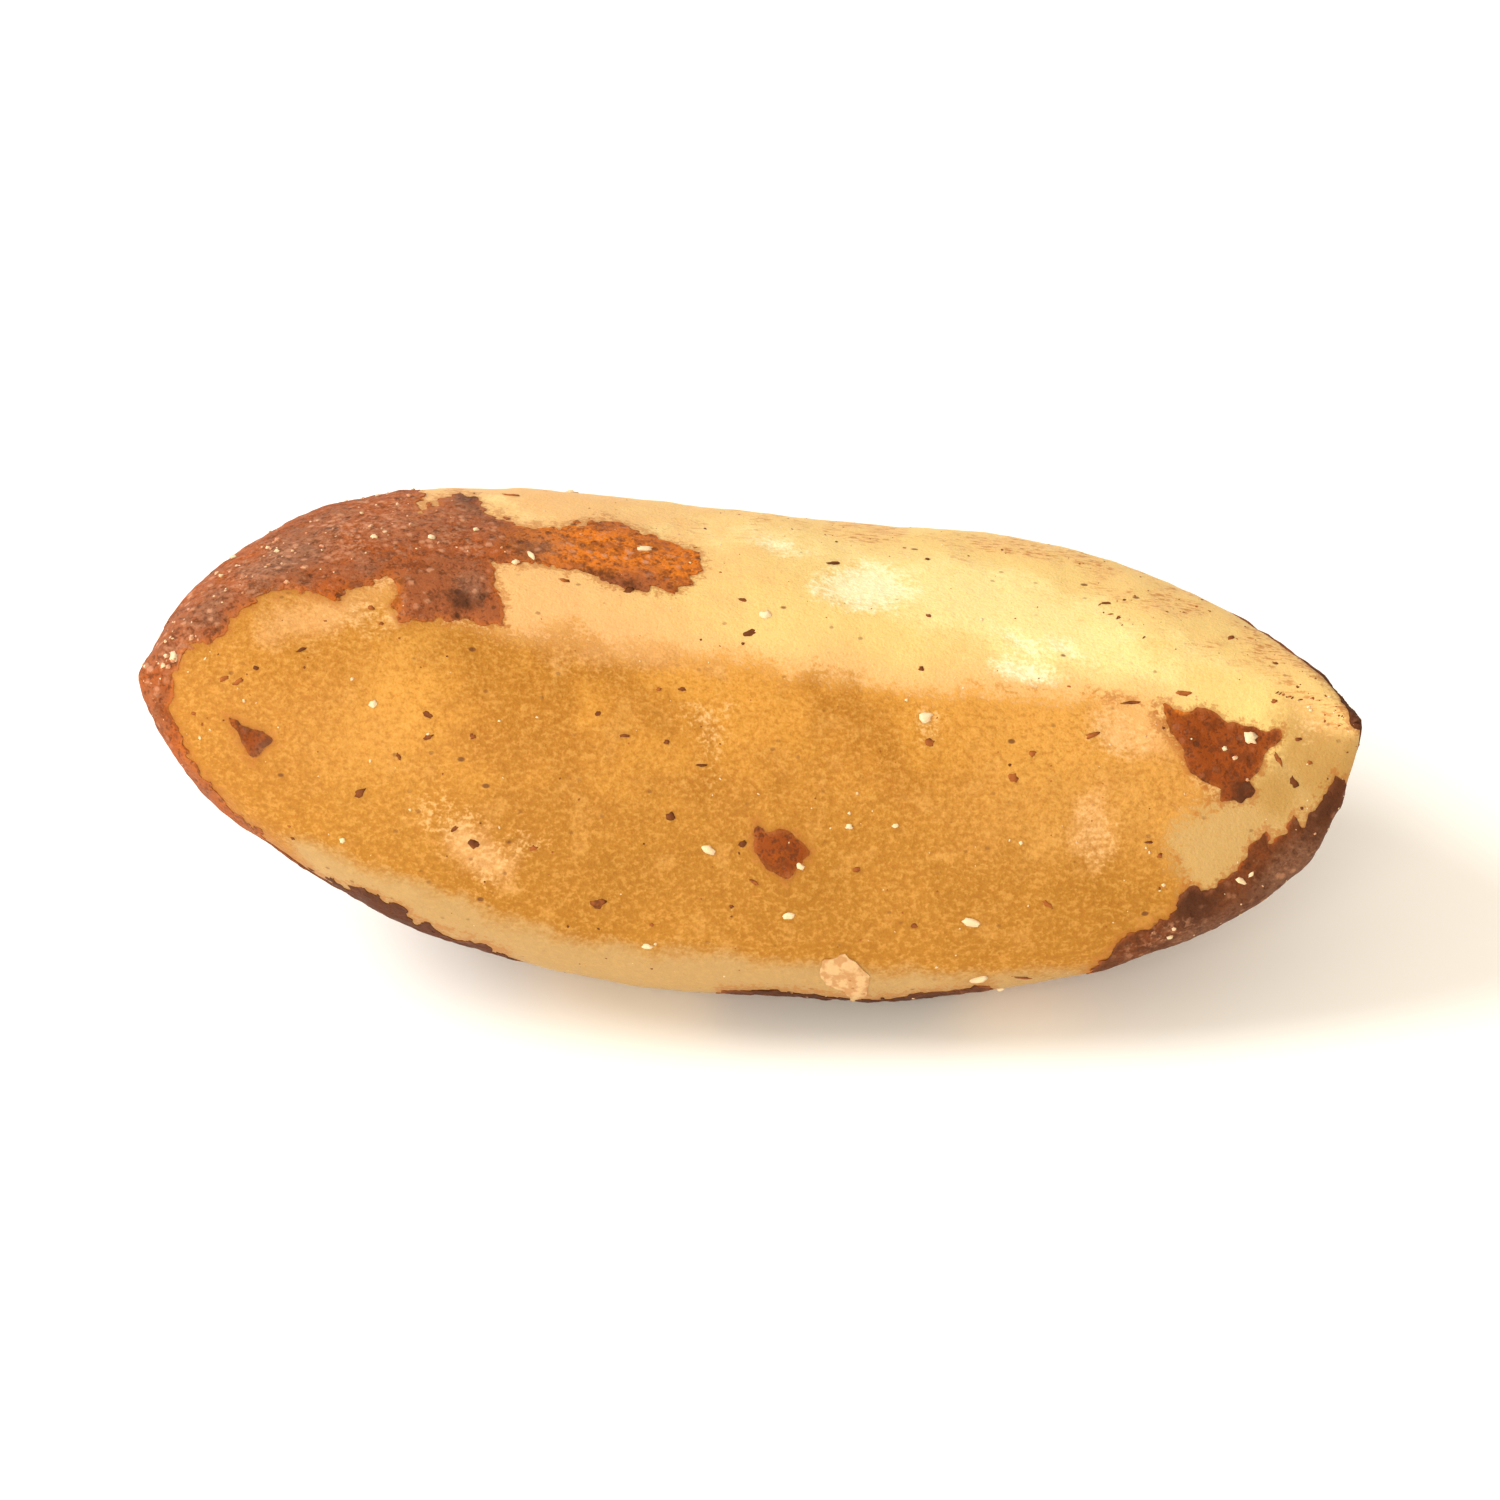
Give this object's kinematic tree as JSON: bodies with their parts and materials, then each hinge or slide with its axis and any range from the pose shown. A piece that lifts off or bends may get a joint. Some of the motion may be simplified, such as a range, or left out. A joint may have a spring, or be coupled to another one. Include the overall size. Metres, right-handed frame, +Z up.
{
  "type": "shelled brazil nut",
  "caption": "Raw Brazil nut kernel out of its shell: a blunt-tipped, three-sided wedge of pale waxy flesh with a tan inner skin and ragged remnants of brown seed skin",
  "frame": {"origin": "Under the middle of the kernel's box, on the surface that it rests on", "axes": "+X along the kernel from the left tip to the right tip, +Y from the tan near side to the far edge, +Z up from the resting surface to the inner ridge"},
  "size_m": [0.0426, 0.0182, 0.0142],
  "materials": {
    "kernel_flesh": "satin, waxy",
    "seed_skin": "matte, dry and papery"
  },
  "bodies": {
    "root": {"kernel": "kernel_flesh"}
  },
  "joints": []
}
